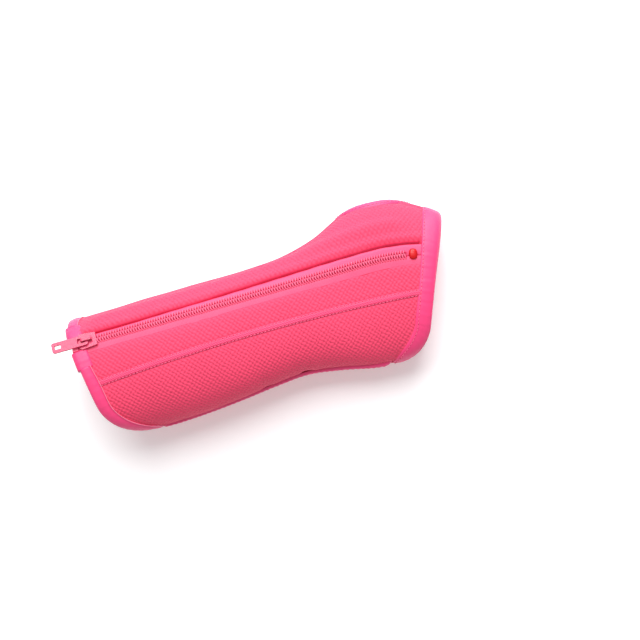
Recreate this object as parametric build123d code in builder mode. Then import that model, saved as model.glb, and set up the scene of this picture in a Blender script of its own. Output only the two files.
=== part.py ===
"""Zippered wrist guard: a foam-and-knit sleeve for a right wrist with a full-length zip over the thumb side.

Millimetres. +X runs from the forearm end to the fingers, +Y to the thumb side, +Z up through the back of
the hand. The guard lies palm side down on its flat stay pocket, whose underside is z = 0."""

import os
from math import atan2, copysign, cos, degrees, pi, radians, sin

from build123d import *

os.makedirs("parts", exist_ok=True)

# ---------------------------------------------------------------- driving dimensions
SHELL = 3.2  # knit-faced foam laminate
LINING = 1.0
PROUD = 0.9  # how far a binding stands out of the wall on each side
POCKET = 3.0  # palmar stay pocket, under the shell
SQUARENESS = 2.4  # exponent of the superellipse sections

# Stations along the sleeve, STEP apart from START: half width, centre y, roll about X in degrees.
START = -120
STEP = 20
STATIONS = [
    (35.4, -4.4, 7),
    (35.9, -4.2, 7),
    (36.5, -3.8, 6.5),
    (36.9, -3.0, 5.5),
    (36.4, -1.8, 4),
    (35.4, -0.3, 2.5),
    (34.3, 1.6, 1.2),
    (34.4, 3.8, 0.4),
    (38.2, 5.4, 0),
    (44.7, 8.3, 0),
    (47.0, 9.6, 0),
    (43.4, 7.1, 0),
    (36.2, 2.3, 0),
]
SECTIONS = [START + STEP * i for i in range(len(STATIONS))]

# Both end edges are slanted straight lines in plan: x at y = 0, and its change per mm of y.
FOREARM_END = (-102, -0.15)
HAND_END = (102.5, 0.34)
SIDE_Y = (-40.2, -38)  # the little-finger side line at the forearm and at the hand
OPEN_Y = 75  # past the thumb side
FOREARM_BAND = 7  # width of the forearm binding
HAND_BAND = 9  # width of the hand binding
CORNER = 24  # rounded corners on the little-finger side

FLAP_Z = 28  # the side lines about which the two dorsal flaps open
FLAP_X = 56  # the flaps run from the forearm end to here
FLAP_GAP = 0.4

ZIP_GAP = 5.5  # from the zip's centre line to the panel edge on the little-finger side
THUMB_GAP = 7  # and on the thumb side, where more of the tape shows
CHAIN_TOP = 0.0  # depths under the sleeve's surface along the zip
TAPE_TOP = 1.8
TAPE_BOTTOM = 2.5
SLIDER_X = -95  # closed position of the slider
CHAIN_END = 92.5
STOP_LENGTH = 4.6

HOLE_CENTRE = (79, 34, 23)  # a point on the thumb hole's axis, inside the sleeve
HOLE_DROP = 20  # degrees the axis leans towards the palm on its way out
HOLE_HALF_LENGTH = 20
HOLE_HALF_HEIGHT = 11.5
HOLE_RIM = 3.5

FAR = 150  # past every edge of the part


# ---------------------------------------------------------------- the sleeve's shape
def zip_y(x):
    """Centre line of the zip in plan: straight, easing to the little-finger side at its hand end."""
    return 17.9 + 0.032 * (x + 91) - 0.004 * max(0, x - 69) ** 2


def zip_z(x):
    """Height of the sleeve's surface along the zip, a straight slope down to the hand."""
    return 56 - 0.0743 * (x + 107)


def station_at(x):
    """Half width, centre and roll at any x, straight between the stations."""
    i = min(max(int((x - START) // STEP), 0), len(STATIONS) - 2)
    share = (x - SECTIONS[i]) / STEP
    return [a + share * (b - a) for a, b in zip(STATIONS[i], STATIONS[i + 1])]


def half_height(x):
    """Half height of the section whose surface passes through the zip line."""
    width, centre, roll = station_at(x)
    turn = radians(roll)
    low, high = 10, 45
    for _ in range(40):
        half = (low + high) / 2
        across, up = zip_y(x) - centre, zip_z(x) - POCKET - half
        v = across * cos(turn) + up * sin(turn)
        w = -across * sin(turn) + up * cos(turn)
        outside = abs(v / width) ** SQUARENESS + abs(w / half) ** SQUARENESS > 1
        low, high = (half, high) if outside else (low, half)
    return half


def section_points(x, depth, count=16):
    """Points round the section at x, moved inward by depth, as (y, z)."""
    width, centre, roll = station_at(x)
    half = half_height(x)
    turn = radians(roll)
    points = []
    for i in range(count):
        t = 2 * pi * i / count
        v = (width - depth) * copysign(abs(cos(t)) ** (2 / SQUARENESS), cos(t))
        w = (half - depth) * copysign(abs(sin(t)) ** (2 / SQUARENESS), sin(t))
        y = centre + v * cos(turn) - w * sin(turn)
        z = POCKET + half + v * sin(turn) + w * cos(turn)
        points.append((y, z))
    return points


def across_plane(x):
    """The plane across the sleeve at x, with its own x along row Y and its own y along row Z."""
    return Plane(origin=(x, 0, 0), x_dir=(0, 1, 0), z_dir=(1, 0, 0))


def core(depth):
    """The solid inside the sleeve's surface moved inward by depth."""
    with BuildPart() as body:
        for x in SECTIONS:
            with BuildSketch(across_plane(x)):
                with BuildLine():
                    Spline(*section_points(x, depth), periodic=True)
                make_face()
        loft()
    return body.part


CORES = {
    depth: core(depth)
    for depth in (-PROUD, -0.5, 0, 2.1, SHELL - 0.1, SHELL, SHELL + LINING, SHELL + LINING + PROUD)
}


def wall(outer, inner):
    """The wall between two depths."""
    with BuildPart() as layer:
        add(CORES[outer])
        add(CORES[inner], mode=Mode.SUBTRACT)
    return layer.part


def block(x0, x1, y0, y1, z0, z1):
    """A box between two corners."""
    with BuildPart() as box:
        with Locations(((x0 + x1) / 2, (y0 + y1) / 2, (z0 + z1) / 2)):
            Box(x1 - x0, y1 - y0, z1 - z0)
    return box.part


def plan_prism(points):
    """An upright prism over an outline in plan."""
    with BuildPart() as prism:
        with BuildSketch(Plane.XY.offset(-10)):
            with BuildLine():
                Polyline(*points, close=True)
            make_face()
        extrude(amount=110)
    return prism.part


def end_x(edge, y):
    """Where a slanted end edge is at y."""
    return edge[0] + edge[1] * y


def outline(forearm_inset, hand_inset, side_inset, corner):
    """The sleeve in plan, its ends moved in, with rounded corners on the little-finger side."""
    with BuildPart() as prism:
        with BuildSketch(Plane.XY.offset(-10)):
            with BuildLine():
                Polyline(
                    (end_x(FOREARM_END, OPEN_Y) + forearm_inset, OPEN_Y),
                    (end_x(HAND_END, OPEN_Y) - hand_inset, OPEN_Y),
                    (end_x(HAND_END, SIDE_Y[1]) - hand_inset, SIDE_Y[1] + side_inset),
                    (end_x(FOREARM_END, SIDE_Y[0]) + forearm_inset, SIDE_Y[0] + side_inset),
                    close=True,
                )
            make_face()
            fillet(vertices().group_by(Axis.Y)[0] + vertices().group_by(Axis.Y)[1], corner)
        extrude(amount=110)
    return prism.part


def beside_zip(near, far, x0=-FAR, x1=FAR):
    """A strip in plan between two distances from the zip's centre line, + towards the thumb."""
    stops = [x0] + [x for x in (69, 76, 83, 90, 96, 102) if x0 < x < x1] + [x1]
    there = [(x, zip_y(min(x, 106)) + near) for x in stops]
    back = [(x, zip_y(min(x, 106)) + far) for x in reversed(stops)]
    return plan_prism(there + back)


def beside_seam(near, far):
    """A strip in plan between two distances from the middle seam, which bows gently to the thumb side."""

    def seam(x):
        return 0.6 - 0.00046 * (x - 35) ** 2

    stops = range(-125, 126, 25)
    return plan_prism([(x, seam(x) + near) for x in stops] + [(x, seam(x) + far) for x in reversed(stops)])


def piece(layer, *keep, cut=()):
    """A layer of the wall, kept inside each region of keep and cleared of each in cut."""
    with BuildPart() as result:
        add(layer)
        for region in keep:
            add(region, mode=Mode.INTERSECT)
        for region in cut:
            add(region, mode=Mode.SUBTRACT)
    return result.part


WHOLE = outline(0, 0, 0, CORNER)
INSIDE = outline(FOREARM_BAND, HAND_BAND, 2.5, CORNER - 6)
ZIP_STRIP = beside_zip(-ZIP_GAP, THUMB_GAP)
THUMB_SIDE = beside_zip(THUMB_GAP, FAR)
LITTLE_SIDE = beside_zip(-FAR, -ZIP_GAP)
MIDDLE_STRIP = beside_seam(0, FAR)
OUTER_STRIP = beside_seam(-FAR, 0)
BELOW = block(-FAR, FAR, -FAR, FAR, -FAR, FLAP_Z)
ABOVE = block(-FAR, FAR, -FAR, FAR, FLAP_Z + FLAP_GAP, FAR)
ABOVE_HAND = block(FLAP_X + FLAP_GAP, FAR, -FAR, FAR, FLAP_Z, FAR)
FLAPS = block(-FAR, FLAP_X - FLAP_GAP, -FAR, FAR, FLAP_Z + FLAP_GAP, FAR)
FOREARM_ZONE = piece(WHOLE, block(-FAR, -76, -FAR, FAR, -FAR, FAR), cut=[INSIDE])
HAND_ZONE = piece(WHOLE, block(66, FAR, -FAR, FAR, -FAR, FAR), cut=[INSIDE])
BETWEEN = piece(WHOLE, cut=[FOREARM_ZONE, HAND_ZONE])


def thumb_oval(grow):
    """An oval bar through the thumb side of the sleeve, larger than the thumb hole by grow."""
    with BuildPart() as bar:
        out = (0, cos(radians(HOLE_DROP)), -sin(radians(HOLE_DROP)))
        with BuildSketch(Plane(origin=HOLE_CENTRE, x_dir=(1, 0, 0), z_dir=out)):
            Ellipse(HOLE_HALF_LENGTH + grow, HOLE_HALF_HEIGHT + grow)
        extrude(amount=50)
    return bar.part


THUMB_HOLE = thumb_oval(0)
THUMB_RIM = thumb_oval(HOLE_RIM)

# ---------------------------------------------------------------- shell panels
with BuildPart() as palmar_panel:
    add(piece(wall(0, SHELL), BETWEEN, BELOW, cut=[THUMB_RIM]))
palmar_panel.part.label = "palmar_panel"
export_step(palmar_panel.part, "parts/palmar_panel.step")

with BuildPart() as hand_panel_radial:
    add(piece(wall(0, SHELL), BETWEEN, ABOVE_HAND, THUMB_SIDE, cut=[THUMB_RIM]))
hand_panel_radial.part.label = "hand_panel_radial"
export_step(hand_panel_radial.part, "parts/hand_panel_radial.step")

with BuildPart() as hand_panel_ulnar:
    add(piece(wall(0, SHELL), BETWEEN, ABOVE_HAND, LITTLE_SIDE))
hand_panel_ulnar.part.label = "hand_panel_ulnar"
export_step(hand_panel_ulnar.part, "parts/hand_panel_ulnar.step")

STAY_STRIP = beside_zip(9, 15, -92, 48)
with BuildPart() as dorsal_stay:
    add(piece(wall(2.1, SHELL - 0.1), STAY_STRIP, FLAPS))
dorsal_stay.part.label = "dorsal_stay"
export_step(dorsal_stay.part, "parts/dorsal_stay.step")

STAY_CHANNEL = piece(CORES[2.1], beside_zip(8.8, 15.2, -92.3, 48.3))
with BuildPart() as flap_panel_radial:
    add(piece(wall(0, SHELL), BETWEEN, FLAPS, THUMB_SIDE, cut=[STAY_CHANNEL]))
flap_panel_radial.part.label = "flap_panel_radial"
export_step(flap_panel_radial.part, "parts/flap_panel_radial.step")

with BuildPart() as flap_panel_middle:
    add(piece(wall(0, SHELL), BETWEEN, FLAPS, LITTLE_SIDE, MIDDLE_STRIP))
flap_panel_middle.part.label = "flap_panel_middle"
export_step(flap_panel_middle.part, "parts/flap_panel_middle.step")

with BuildPart() as flap_panel_ulnar:
    add(piece(wall(0, SHELL), BETWEEN, FLAPS, OUTER_STRIP))
flap_panel_ulnar.part.label = "flap_panel_ulnar"
export_step(flap_panel_ulnar.part, "parts/flap_panel_ulnar.step")

# ---------------------------------------------------------------- lining
with BuildPart() as palmar_lining:
    add(piece(wall(SHELL, SHELL + LINING), BETWEEN, BELOW, cut=[THUMB_RIM]))
palmar_lining.part.label = "palmar_lining"
export_step(palmar_lining.part, "parts/palmar_lining.step")

with BuildPart() as hand_lining:
    add(piece(wall(SHELL, SHELL + LINING), BETWEEN, ABOVE_HAND, cut=[THUMB_RIM, ZIP_STRIP]))
hand_lining.part.label = "hand_lining"
export_step(hand_lining.part, "parts/hand_lining.step")

with BuildPart() as flap_lining_radial:
    add(piece(wall(SHELL, SHELL + LINING), BETWEEN, FLAPS, THUMB_SIDE))
flap_lining_radial.part.label = "flap_lining_radial"
export_step(flap_lining_radial.part, "parts/flap_lining_radial.step")

with BuildPart() as flap_lining_ulnar:
    add(piece(wall(SHELL, SHELL + LINING), BETWEEN, FLAPS, LITTLE_SIDE))
flap_lining_ulnar.part.label = "flap_lining_ulnar"
export_step(flap_lining_ulnar.part, "parts/flap_lining_ulnar.step")

# ---------------------------------------------------------------- bindings
BAND = wall(-PROUD, SHELL + LINING + PROUD)

with BuildPart() as hand_end_binding:
    add(piece(BAND, HAND_ZONE, cut=[THUMB_RIM]))
hand_end_binding.part.label = "hand_end_binding"
export_step(hand_end_binding.part, "parts/hand_end_binding.step")

with BuildPart() as forearm_binding_palmar:
    add(piece(BAND, FOREARM_ZONE, BELOW))
forearm_binding_palmar.part.label = "forearm_binding_palmar"
export_step(forearm_binding_palmar.part, "parts/forearm_binding_palmar.step")

with BuildPart() as forearm_binding_radial:
    add(piece(BAND, FOREARM_ZONE, FLAPS, THUMB_SIDE))
forearm_binding_radial.part.label = "forearm_binding_radial"
export_step(forearm_binding_radial.part, "parts/forearm_binding_radial.step")

with BuildPart() as forearm_binding_ulnar:
    add(piece(BAND, FOREARM_ZONE, FLAPS, LITTLE_SIDE))
forearm_binding_ulnar.part.label = "forearm_binding_ulnar"
export_step(forearm_binding_ulnar.part, "parts/forearm_binding_ulnar.step")

with BuildPart() as thumb_hole_binding:
    add(piece(BAND, BETWEEN, THUMB_RIM, cut=[THUMB_HOLE]))
thumb_hole_binding.part.label = "thumb_hole_binding"
export_step(thumb_hole_binding.part, "parts/thumb_hole_binding.step")

SIDE_BAND = block(-76, 66, -FAR, -15, FLAP_Z - 6, FLAP_Z - 0.2)
with BuildPart() as ulnar_seam_binding:
    add(piece(wall(-PROUD, 0), BETWEEN, SIDE_BAND))
ulnar_seam_binding.part.label = "ulnar_seam_binding"
export_step(ulnar_seam_binding.part, "parts/ulnar_seam_binding.step")

with BuildPart() as middle_seam_tape:
    add(piece(wall(-0.5, 0), BETWEEN, beside_seam(-1.6, 1.6), ABOVE))
middle_seam_tape.part.label = "middle_seam_tape"
export_step(middle_seam_tape.part, "parts/middle_seam_tape.step")

# ---------------------------------------------------------------- palmar stay in its flat pocket
POCKET_X = (-84, 72)
POCKET_WIDTH = 30
STAY_WIDTH = 21
STAY_Z = (0.8, 2.4)
with BuildPart() as palmar_stay_pocket:
    with BuildSketch(Plane.XY):
        with Locations((sum(POCKET_X) / 2, 0)):
            RectangleRounded(POCKET_X[1] - POCKET_X[0], POCKET_WIDTH, 8)
    extrude(amount=14)
    add(CORES[0], mode=Mode.SUBTRACT)
    with BuildSketch(Plane.XY.offset(STAY_Z[0])):
        with Locations((sum(POCKET_X) / 2, 0)):
            RectangleRounded(POCKET_X[1] - POCKET_X[0] - 10, STAY_WIDTH + 0.6, 6)
    extrude(amount=STAY_Z[1] - STAY_Z[0] + 0.1, mode=Mode.SUBTRACT)
palmar_stay_pocket.part.label = "palmar_stay_pocket"
export_step(palmar_stay_pocket.part, "parts/palmar_stay_pocket.step")

with BuildPart() as palmar_stay:
    with BuildSketch(Plane.XY.offset(STAY_Z[0])):
        with Locations((sum(POCKET_X) / 2, 0)):
            RectangleRounded(POCKET_X[1] - POCKET_X[0] - 10.6, STAY_WIDTH, 6)
    extrude(amount=STAY_Z[1] - STAY_Z[0])
palmar_stay.part.label = "palmar_stay"
export_step(palmar_stay.part, "parts/palmar_stay.step")


# ---------------------------------------------------------------- the zip
def zip_plane(x, across=0, depth=0):
    """The plane across the zip at x: its own x towards the thumb, its own y out of the surface."""
    width, centre, roll = station_at(x)
    half = half_height(x)
    turn = radians(roll)
    over, up = zip_y(x) - centre, zip_z(x) - POCKET - half
    v = (over * cos(turn) + up * sin(turn)) / width
    w = (-over * sin(turn) + up * cos(turn)) / half
    lean_v = abs(v) ** (SQUARENESS - 1) / width
    lean_w = abs(w) ** (SQUARENESS - 1) / half
    tilt = atan2(lean_v, lean_w) - turn
    along = Vector(1, zip_y(x + 1) - zip_y(x), zip_z(x + 1) - zip_z(x)).normalized()
    out = Vector(0, sin(tilt), cos(tilt))
    out = (out - along * out.dot(along)).normalized()
    side = out.cross(along)
    place = Vector(x, zip_y(x), zip_z(x)) + side * across - out * depth
    return Plane(origin=place, x_dir=side, z_dir=along)


def zip_bar(x0, x1, near, far, top, bottom):
    """A flat bar that follows the zip line, between two distances to one side and two depths."""
    middle = [x for x in (-75, -50, -25, 0, 25, 50, 68, 76, 84, 90, 96) if x0 + 3 < x < x1 - 3]
    with BuildPart() as bar:
        for x in [x0] + middle + [x1]:
            with BuildSketch(zip_plane(x, (near + far) / 2, (top + bottom) / 2)):
                Rectangle(abs(far - near), bottom - top)
        loft()
    return bar.part


TAPE_EDGES = {1: (0.5, 6.3), -1: (0.5, 4.8)}  # the thumb side shows more tape
COIL_EDGES = (0.15, 2.9)
CHAIN_START = SLIDER_X - 1
TAPE_START = -106.5
TAPE_FINISH = 97.9
NOTCH_X = SLIDER_X - 1.2  # the tapes part round the slider's post in front of this
NOTCH_HALF = 1.7

for side, name in ((1, "radial"), (-1, "ulnar")):
    with BuildPart() as zip_tape:
        near, far = (side * edge for edge in TAPE_EDGES[side])
        add(zip_bar(NOTCH_X, TAPE_FINISH, near, far, TAPE_TOP, TAPE_BOTTOM))
        add(zip_bar(TAPE_START, NOTCH_X, side * NOTCH_HALF, far, TAPE_TOP, TAPE_BOTTOM))
    zip_tape.part.label = f"zip_tape_{name}"
    export_step(zip_tape.part, f"parts/zip_tape_{name}.step")

    with BuildPart() as zip_chain:
        near, far = (side * edge for edge in COIL_EDGES)
        add(zip_bar(CHAIN_START, CHAIN_END, near, far, CHAIN_TOP, TAPE_TOP - 0.2))
    zip_chain.part.label = f"zip_chain_{name}"
    export_step(zip_chain.part, f"parts/zip_chain_{name}.step")

    with BuildPart() as top_stop:
        near, far = side * 1.9, side * 4.3
        add(zip_bar(SLIDER_X - 9.2, SLIDER_X - 6.2, near, far, -0.2, TAPE_TOP))
    top_stop.part.label = f"top_stop_{name}"
    export_step(top_stop.part, f"parts/top_stop_{name}.step")

with BuildPart() as bottom_stop:
    add(zip_bar(CHAIN_END + 0.3, CHAIN_END + 0.3 + STOP_LENGTH, -3, 3, -0.6, TAPE_TOP - 0.2))
bottom_stop.part.label = "bottom_stop"
export_step(bottom_stop.part, "parts/bottom_stop.step")

# ---------------------------------------------------------------- slider and pull tab
SLIDER_LENGTH = 10.5
FRONT_HALF = 4.8
REAR_HALF = 3.9
LOWER_HALF = 3.6  # the plate behind the tapes is narrower
PLATE = 1.0
PLATE_GAP = 0.3
FLANGE = 0.7
POST = (2.4, 1.2)
TOP_FACE = PLATE_GAP + PLATE  # height of the top plate above the sleeve's surface
BRIDGE_HEIGHT = 2.9
BRIDGE_BAR = 1.0
BRIDGE_WIDTH = 1.9
TAB_LENGTH = 20.5
TAB_WIDTH = 6.2
TAB_THICKNESS = 1.2
PIVOT = (-0.3, TOP_FACE + 0.95)  # along the slider, and out of the surface

SEAT = zip_plane(SLIDER_X)
FLAT = Plane(origin=SEAT.origin, x_dir=SEAT.z_dir, z_dir=SEAT.y_dir)  # x along, y across, z outward


def slider_plate(height, front, rear):
    """One plate of the slider, wide at the front where the two sides of the zip come in."""
    with BuildPart() as plate:
        with BuildSketch(FLAT.offset(height)):
            with BuildLine():
                Polyline(
                    (-SLIDER_LENGTH / 2, front - 1.6),
                    (-SLIDER_LENGTH / 2 + 1.6, front),
                    (SLIDER_LENGTH / 2, rear),
                    (SLIDER_LENGTH / 2, -rear),
                    (-SLIDER_LENGTH / 2 + 1.6, -front),
                    (-SLIDER_LENGTH / 2, -front + 1.6),
                    close=True,
                )
            make_face()
        extrude(amount=PLATE)
    return plate.part


with BuildPart() as slider_body:
    add(slider_plate(PLATE_GAP, FRONT_HALF, REAR_HALF))
    add(slider_plate(-TAPE_BOTTOM - PLATE_GAP - PLATE, LOWER_HALF, LOWER_HALF))
    with BuildSketch(FLAT.offset(-TAPE_BOTTOM - PLATE_GAP - PLATE / 2)):
        with Locations((-SLIDER_LENGTH / 2 + 2.1, 0)):
            Rectangle(*POST)
    extrude(amount=TAPE_BOTTOM + 2 * PLATE_GAP + PLATE)
    with BuildSketch(FLAT.offset(PLATE_GAP)):
        with Locations((1.6, REAR_HALF - FLANGE / 2), (1.6, -REAR_HALF + FLANGE / 2)):
            Rectangle(SLIDER_LENGTH - 3.2, FLANGE)
    extrude(amount=0.1 - TAPE_TOP)
slider_body.part.label = "slider_body"
export_step(slider_body.part, "parts/slider_body.step")

SIDE_ON = Plane(origin=SEAT.origin, x_dir=SEAT.z_dir, z_dir=-SEAT.x_dir)  # x along, y outward
with BuildPart() as slider_bridge:
    with BuildSketch(SIDE_ON):
        with Locations((-0.3, TOP_FACE + BRIDGE_HEIGHT / 2)):
            Rectangle(6.4, BRIDGE_HEIGHT)
            with Locations((0, -BRIDGE_BAR / 2)):
                Rectangle(4.2, BRIDGE_HEIGHT - BRIDGE_BAR, mode=Mode.SUBTRACT)
        fillet(vertices().group_by(Axis.Y)[-1], 0.9)
    extrude(amount=BRIDGE_WIDTH / 2, both=True)
slider_bridge.part.label = "slider_bridge"
export_step(slider_bridge.part, "parts/slider_bridge.step")

with BuildPart() as pull_tab:
    with BuildSketch(FLAT.offset(PIVOT[1] - TAB_THICKNESS / 2)):
        with Locations((PIVOT[0] - TAB_LENGTH / 2 + 0.7, 0)):
            RectangleRounded(TAB_LENGTH, TAB_WIDTH, 1.2)
        with Locations((PIVOT[0] - 2.9, 0)):
            RectangleRounded(4.4, 3.0, 0.5, mode=Mode.SUBTRACT)
        with Locations((PIVOT[0] - 16.4, 0)):
            RectangleRounded(3.6, 2.4, 0.4, mode=Mode.SUBTRACT)
    extrude(amount=TAB_THICKNESS)
pull_tab.part.label = "pull_tab"
export_step(pull_tab.part, "parts/pull_tab.step")

lean = degrees(atan2(SEAT.y_dir.Y, SEAT.y_dir.Z))
print("slider seat", SEAT.origin, "along", SEAT.z_dir, "side", SEAT.x_dir, "tilt", round(lean, 1))
print("tab pivot", FLAT.from_local_coords(Vector(PIVOT[0], 0, PIVOT[1])))
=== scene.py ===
# %% [markdown]
# # A zippered wrist guard, sewn in Blender
# The guard is a knit-and-foam sleeve for a right wrist. A coil zip runs along its back, bindings fold over
# its edges, and thin stays keep it straight. This lesson takes the fixed frame that the maker packed, and
# sews every visible piece round it in mesh code.

from math import atan2, cos, pi, radians, sin, sqrt

import bmesh
import bpy
import numpy as np
from mathutils import Matrix, Vector


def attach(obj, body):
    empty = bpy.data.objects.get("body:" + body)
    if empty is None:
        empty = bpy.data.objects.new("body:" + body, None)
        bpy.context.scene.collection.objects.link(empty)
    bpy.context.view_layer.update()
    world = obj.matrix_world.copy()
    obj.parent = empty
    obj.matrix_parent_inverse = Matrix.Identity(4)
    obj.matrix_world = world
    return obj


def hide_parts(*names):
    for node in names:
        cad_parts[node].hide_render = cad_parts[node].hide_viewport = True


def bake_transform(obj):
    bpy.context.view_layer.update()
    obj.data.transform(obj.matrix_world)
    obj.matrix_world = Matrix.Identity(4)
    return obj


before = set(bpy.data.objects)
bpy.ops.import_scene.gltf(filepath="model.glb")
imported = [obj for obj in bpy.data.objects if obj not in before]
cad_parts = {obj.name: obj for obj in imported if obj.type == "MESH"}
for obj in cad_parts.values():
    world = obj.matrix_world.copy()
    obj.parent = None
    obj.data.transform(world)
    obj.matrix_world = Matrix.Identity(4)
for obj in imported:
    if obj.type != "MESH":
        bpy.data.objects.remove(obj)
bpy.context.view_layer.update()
MM = 0.001  # all lengths below are in millimetres until a mesh is written

# %% [markdown]
# ## The sleeve's surface
# A sewn sleeve is easiest to describe the way a pattern cutter sees it: how far along the arm, and how far
# round it. The sections are squared ovals, so the table below gives each one's half width, its centre and
# how far it is rolled. Everything else on the guard is then placed in those two directions, and a distance
# out from the cloth, because that keeps seams, stitches and bindings on the surface whatever its shape.

# %% Sections along the arm
START, STEP = -120, 20
SQUARENESS = 2.4
POCKET = 3.0  # the palmar stay pocket lifts the sleeve by this much
SECTIONS = np.array([
    (35.4, -4.4, 7.0), (35.9, -4.2, 7.0), (36.5, -3.8, 6.5), (36.9, -3.0, 5.5), (36.4, -1.8, 4.0),
    (35.4, -0.3, 2.5), (34.3, 1.6, 1.2), (34.4, 3.8, 0.4), (38.2, 5.4, 0.0), (44.7, 8.3, 0.0),
    (47.0, 9.6, 0.0), (43.4, 7.1, 0.0), (36.2, 2.3, 0.0),
])
SHELL = 3.2  # knit-faced foam
LINING = 1.0


def zip_y(x):
    """The zip's centre line in plan."""
    return 17.9 + 0.032 * (x + 91) - 0.004 * np.maximum(0, x - 69) ** 2


def zip_z(x):
    """The cloth's height along the zip."""
    return 56 - 0.0743 * (x + 107)


def half_height(x, width, centre, roll):
    """Half height of the section whose surface passes through the zip."""
    turn = radians(roll)
    low, high = 10.0, 45.0
    for _ in range(40):
        half = (low + high) / 2
        over, up = zip_y(x) - centre, zip_z(x) - POCKET - half
        v, w = over * cos(turn) + up * sin(turn), -over * sin(turn) + up * cos(turn)
        outside = abs(v / width) ** SQUARENESS + abs(w / half) ** SQUARENESS > 1
        low, high = (half, high) if outside else (low, half)
    return half


STATIONS = START + STEP * np.arange(len(SECTIONS))
HEIGHTS = [half_height(x, *row) for x, row in zip(STATIONS, SECTIONS)]
TABLE = np.column_stack([SECTIONS, HEIGHTS])
print("half heights along the arm:", np.round(HEIGHTS, 1))


# %% [markdown]
# The stations are joined by a smooth curve, so the sleeve has no creases between them. The girth is measured
# once along a ruler of cross-sections, and after that a pair of distances is enough to find any point.


# %% Any point of the cloth
def smooth_rows(x):
    """Width, centre, roll and half height at any x, on a curve through the stations."""
    x = np.asarray(x, float)
    place = np.clip((x - START) / STEP, 0, len(TABLE) - 1.001)
    i = place.astype(int)
    t = (place - i)[..., None]
    padded = np.vstack([2 * TABLE[0] - TABLE[1], TABLE, 2 * TABLE[-1] - TABLE[-2]])
    a, b, c, d = (padded[i + k] for k in range(4))
    return b + t * ((c - a) + t * ((2 * a - 5 * b + 4 * c - d) + t * (3 * (b - c) + d - a))) / 2


def at_angle(x, angle, out=0.0):
    """The point at an angle round the section: 0 at the thumb side, a quarter turn at the hand's back."""
    width, centre, roll, half = np.moveaxis(smooth_rows(x), -1, 0)
    a, b = width + out, half + out
    reach = ((np.abs(np.cos(angle)) / a) ** SQUARENESS + (np.abs(np.sin(angle)) / b) ** SQUARENESS)
    reach = reach ** (-1 / SQUARENESS)
    v, w = reach * np.cos(angle), reach * np.sin(angle)
    turn = np.radians(roll)
    y = centre + v * np.cos(turn) - w * np.sin(turn)
    z = POCKET + half + v * np.sin(turn) + w * np.cos(turn)
    return np.stack(np.broadcast_arrays(np.asarray(x, float), y, z), -1)


RULER = np.linspace(-122, 119, 242)  # where the girth is measured
TURNS = np.linspace(-1.4 * pi, 2.2 * pi, 1297)
LOOPS = at_angle(RULER[:, None], TURNS[None, :])
LENGTHS = np.concatenate(
    [np.zeros((len(RULER), 1)), np.cumsum(np.linalg.norm(np.diff(LOOPS, axis=1), axis=2), axis=1)], axis=1
)
ZERO = []
for row, (x, loop) in enumerate(zip(RULER, LOOPS)):
    back = (TURNS > 0.15) & (TURNS < 2.2)
    order = np.argsort(loop[back][:, 1])
    ZERO.append(np.interp(zip_y(x), loop[back][order, 1], LENGTHS[row][back][order]))
GIRTH = np.array(ZERO)[:, None] - LENGTHS  # + towards the thumb, 0 at the zip
print("stretch of cloth measured, mm:", round(float(np.ptp(RULER)), 1))


def cloth(x, g, out=0.0):
    """The point of the cloth at x along the arm and g round it from the zip, lifted by out."""
    x, g, out = np.broadcast_arrays(np.asarray(x, float), np.asarray(g, float), np.asarray(out, float))
    flat_x, flat_g = x.ravel(), g.ravel()
    place = np.clip(flat_x - RULER[0], 0, len(RULER) - 1.001)
    i = place.astype(int)
    share = place - i
    angle = np.empty(len(flat_x))
    for row in np.unique(i):
        pick = i == row
        first = np.interp(-flat_g[pick], -GIRTH[row], TURNS)
        second = np.interp(-flat_g[pick], -GIRTH[row + 1], TURNS)
        angle[pick] = first + share[pick] * (second - first)
    return at_angle(flat_x, angle, out.ravel()).reshape(x.shape + (3,))


def on_cloth(points, out=0.0):
    """The nearest points of the cloth straight in towards its middle line, lifted by out."""
    _, centre, roll, half = np.moveaxis(smooth_rows(points[..., 0]), -1, 0)
    turn = np.radians(roll)
    y, z = points[..., 1] - centre, points[..., 2] - POCKET - half
    v, w = y * np.cos(turn) + z * np.sin(turn), -y * np.sin(turn) + z * np.cos(turn)
    return at_angle(points[..., 0], np.arctan2(w, v), out)


def unit(rows):
    """Each row scaled to length 1."""
    return rows / (np.linalg.norm(rows, axis=-1, keepdims=True) + 1e-12)


def girth_where(x, axis, value, side):
    """How far round the cloth the row coordinate reaches a value: side is back, thumb or little."""
    first, last = {"back": (0.35, 2.8), "thumb": (-0.9, 0.9), "little": (2.2, 4.1)}[side]
    pick = (TURNS > first) & (TURNS < last)
    found = []
    for loop, girth, wanted in zip(LOOPS[:, pick, axis], GIRTH[:, pick], np.broadcast_to(value, len(RULER))):
        order = np.argsort(loop)
        found.append(np.interp(wanted, loop[order], girth[order]))
    return np.interp(x, RULER, found)


# %% [markdown]
# ## Seam lines
# The sleeve is cut as a palmar panel and three back panels. The seams are named here once, as distances
# round the cloth, so that a panel, its stitches and its lining all read the same line.

# %% Edges and seams
FOREARM_EDGE = (-102, -0.15)  # x at y = 0, and its slant per mm of y
HAND_EDGE = (102.5, 0.34)
SIDE_LINE = {-1: -40.2, 1: -38.0}
CORNER = 24.0
FLAP_Z = 28.0
FOREARM_BAND, HAND_BAND = 7.0, 9.0


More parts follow.
